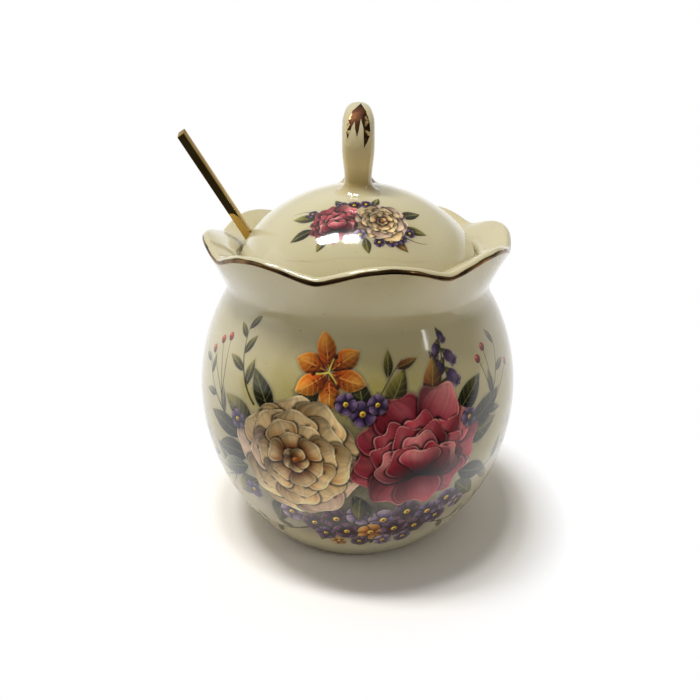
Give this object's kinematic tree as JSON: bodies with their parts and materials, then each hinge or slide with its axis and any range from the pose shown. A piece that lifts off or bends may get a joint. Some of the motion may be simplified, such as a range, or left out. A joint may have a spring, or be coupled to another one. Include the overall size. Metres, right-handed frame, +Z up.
{
  "type": "spice jar",
  "caption": "Round-bellied glazed ceramic spice jar with a wavy gilded rim, a domed lid with a loop handle that lifts off, and a gilt spoon leaning out of a notch in the lid.",
  "frame": {"origin": "centre of the foot ring, on the surface the jar stands on", "axes": "+Z up along the jar's axis, -Y to the printed front, +X to the right as seen from the front"},
  "size_m": [0.103, 0.1, 0.131],
  "materials": {
    "glaze": "glossy ivory glaze with a fired-on flower print",
    "gilding": "bright gold lustre, brushed on and fired",
    "spoon_metal": "polished steel with a gold-coloured coat"
  },
  "bodies": {
    "jar": {"jar_body": "glaze", "rim_gilding": "gilding"},
    "lid": {"lid_dome": "glaze", "lid_handle": "glaze", "handle_gilding": "gilding"},
    "spoon": {"spoon_handle": "spoon_metal", "spoon_bowl": "spoon_metal"}
  },
  "joints": [
    {"name": "lid_lift", "type": "slide", "parent": "jar", "child": "lid", "axis": [0, 0, 1], "range_m": [0, 0.06]},
    {"name": "spoon_draw", "type": "slide", "parent": "jar", "child": "spoon", "axis": [-0.5242, 0.0367, 0.8508], "range_m": [0, 0.045]}
  ]
}
